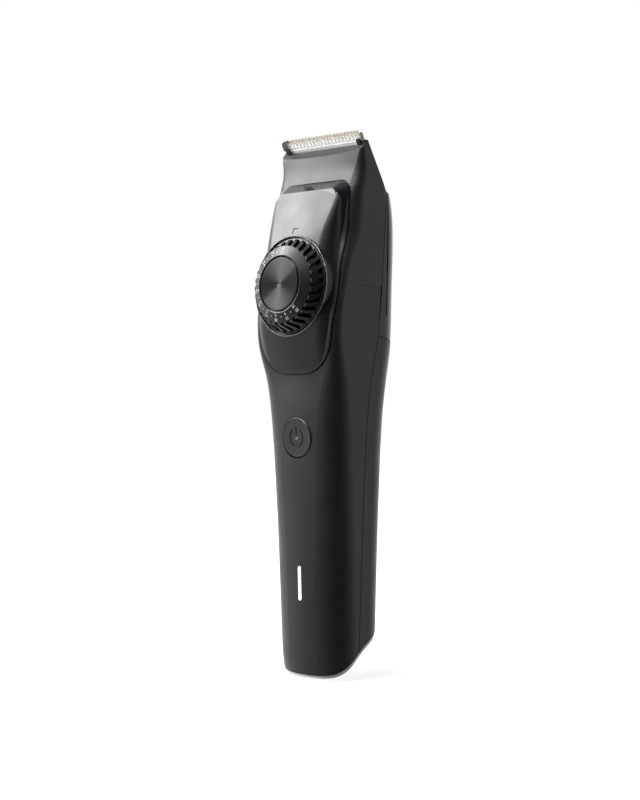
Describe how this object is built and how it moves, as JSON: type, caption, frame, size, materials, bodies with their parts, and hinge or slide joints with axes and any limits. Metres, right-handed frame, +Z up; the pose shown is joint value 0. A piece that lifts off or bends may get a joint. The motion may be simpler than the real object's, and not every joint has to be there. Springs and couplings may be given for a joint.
{
  "type": "beard trimmer",
  "caption": "Cordless beard trimmer with a tapering handle, toothed blade head, length dial on a raised panel and power button.",
  "frame": {"origin": "centre of the bounding box's underside, below the handle", "axes": "+Z up along the handle to the blades, -Y out of the dial face, +X to the right when facing the dial"},
  "size_m": [0.038, 0.0412, 0.1772],
  "materials": {
    "casing_plastic": "fine satin",
    "cover_gloss": "gloss",
    "panel_plastic": "satin",
    "trim_gloss": "gloss",
    "base_satin": "satin",
    "light_clear": "frosted",
    "button_plastic": "satin",
    "rubber": "matt",
    "knob_plastic": "satin",
    "disc_metal": "spun, dark anodised",
    "bezel_metal": "polished",
    "gear_plastic": "natural acetal",
    "carriage_plastic": "satin",
    "chassis_plastic": "satin",
    "spring_steel": "drawn",
    "blade_steel": "ground",
    "blade_ceramic": "ground",
    "screw_steel": "plated",
    "motor_steel": "plated",
    "bearing_brass": "sintered",
    "cell_sleeve": "shrink sleeve",
    "board": "solder mask",
    "led_lit": "clear"
  },
  "bodies": {
    "housing": {"front_shell": "casing_plastic", "rear_shell": "casing_plastic", "rear_cover": "cover_gloss", "dial_panel": "panel_plastic", "panel_trim": "trim_gloss", "bottom_cap": "base_satin", "light_guide": "light_clear", "button_gasket": "rubber", "dial_collar": "knob_plastic", "dial_bezel": "bezel_metal", "dial_bush": "gear_plastic", "dial_seal": "rubber", "detent_washer": "spring_steel", "fixed_blade": "blade_steel", "head_frame": "carriage_plastic", "cutter_spring": "spring_steel", "blade_screws": "screw_steel", "motor_can": "motor_steel", "motor_end_cap": "carriage_plastic", "motor_bearing": "bearing_brass", "motor_bracket": "motor_steel", "motor_screws": "screw_steel", "motor_leads": "rubber", "chassis": "chassis_plastic", "battery_cell": "cell_sleeve", "battery_tabs": "screw_steel", "main_board": "board", "board_screws": "screw_steel", "switch_body": "motor_steel", "led_chip": "led_lit", "charge_board": "board", "charge_socket": "screw_steel", "port_seal": "rubber"},
    "dial": {"dial_knob": "knob_plastic", "dial_disc": "disc_metal", "dial_shaft": "gear_plastic"},
    "carriage": {"comb_carriage": "carriage_plastic"},
    "button": {"power_button": "button_plastic"},
    "plunger": {"switch_plunger": "carriage_plastic"},
    "rotor": {"motor_shaft": "spring_steel", "crank_cam": "gear_plastic"},
    "cutter": {"moving_blade": "blade_ceramic", "drive_yoke": "gear_plastic"}
  },
  "joints": [
    {"name": "dial_turn", "type": "hinge", "parent": "housing", "child": "dial", "pos_m": [0, -0.01465, 0.12667], "axis": [0, -0.9969, 0.0785], "range_deg": [-222, 0]},
    {"name": "comb_slide", "type": "slide", "parent": "housing", "child": "carriage", "axis": [0, 0.0785, 0.9969], "range_m": [0, 0.0098]},
    {"name": "button_press", "type": "slide", "parent": "housing", "child": "button", "axis": [0, 0.9976, 0.0698], "range_m": [0, 0.0004], "stiffness_N_per_m": 1500, "springref_m": -0.0004},
    {"name": "switch_press", "type": "slide", "parent": "housing", "child": "plunger", "axis": [0, 1, 0], "range_m": [0, 0.0004]},
    {"name": "rotor_spin", "type": "hinge", "parent": "housing", "child": "rotor", "pos_m": [0, 0.00705, 0.12127], "axis": [0, 0, 1], "continuous": true},
    {"name": "cutter_slide", "type": "slide", "parent": "housing", "child": "cutter", "axis": [1, 0, 0], "range_m": [-0.0007, 0.0007]}
  ],
  "couplings": [
    {"joint": "comb_slide", "follows": "dial_turn", "m_per_rad": -0.0025},
    {"joint": "switch_press", "follows": "button_press", "ratio": 1}
  ]
}
